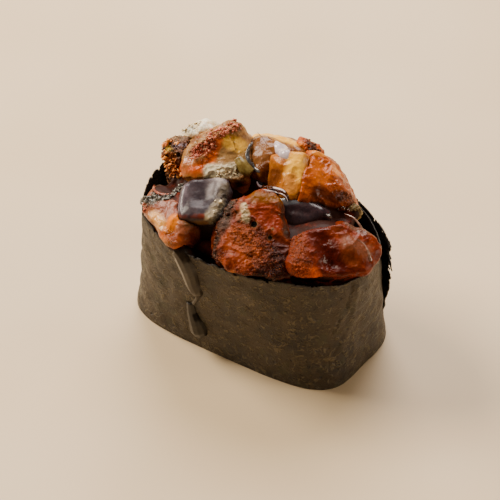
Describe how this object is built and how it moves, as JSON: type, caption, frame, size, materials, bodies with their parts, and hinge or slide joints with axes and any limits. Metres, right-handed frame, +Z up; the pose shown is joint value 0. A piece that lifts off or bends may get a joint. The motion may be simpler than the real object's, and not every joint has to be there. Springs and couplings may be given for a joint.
{
  "type": "gunkan sushi",
  "caption": "Gunkan sushi: an oval block of rice wrapped in a seaweed strip with a loose torn flap, topped with a heap of glazed, chopped eel.",
  "frame": {"origin": "middle of the flat base of the rice, where it stands on the board", "axes": "+X along the oval's long side, towards the end with the loose flap; -Y is the front side; +Z up"},
  "size_m": [0.0527, 0.0349, 0.0408],
  "materials": {
    "nori": "satin, dark olive brown, fibrous",
    "rice": "moist, off-white, grainy",
    "eel_flesh": "glazed, deep red-orange, crumbly",
    "eel_amber": "glazed, orange to tan",
    "eel_pale": "glazed, cream",
    "eel_skin": "wet, purple-grey skin",
    "sauce": "wet, dark brown, nearly clear where thin"
  },
  "bodies": {
    "root": {"nori_band": "nori", "rice": "rice", "eel_centre_front": "eel_flesh", "eel_right_end": "eel_flesh", "eel_back_left": "eel_flesh", "eel_back_small": "eel_flesh", "eel_left_edge": "eel_amber", "eel_top_fold": "eel_amber", "eel_top_middle": "eel_amber", "eel_top_left": "eel_amber", "eel_top_right": "eel_amber", "eel_back_pale": "eel_pale", "eel_pale_bit": "eel_pale", "eel_dark_square": "eel_skin", "eel_skin_strip": "eel_skin"}
  },
  "joints": []
}
